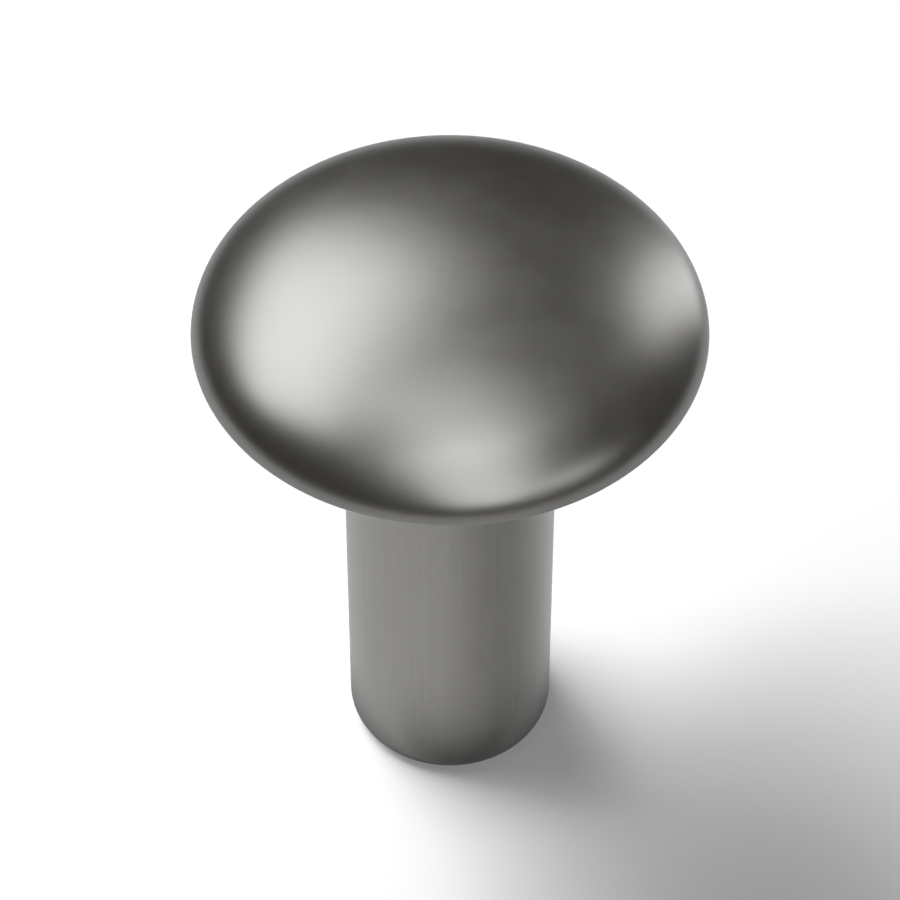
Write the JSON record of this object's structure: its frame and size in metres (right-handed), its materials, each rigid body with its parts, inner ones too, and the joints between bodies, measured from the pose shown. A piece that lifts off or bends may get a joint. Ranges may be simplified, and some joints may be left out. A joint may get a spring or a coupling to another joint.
{
  "type": "raised countersunk rivet",
  "caption": "Solid raised countersunk rivet: a domed head over a conical seat on a plain round shank with a rounded end edge.",
  "frame": {"origin": "centre of the flat end of the shank, which the rivet stands on", "axes": "+Z along the rivet's axis, from the end of the shank to the top of the head; X and Y are alike"},
  "size_m": [0.0142, 0.0142, 0.0188],
  "materials": {
    "steel": "plain satin steel, smooth as headed"
  },
  "bodies": {
    "root": {"rivet": "steel"}
  },
  "joints": []
}
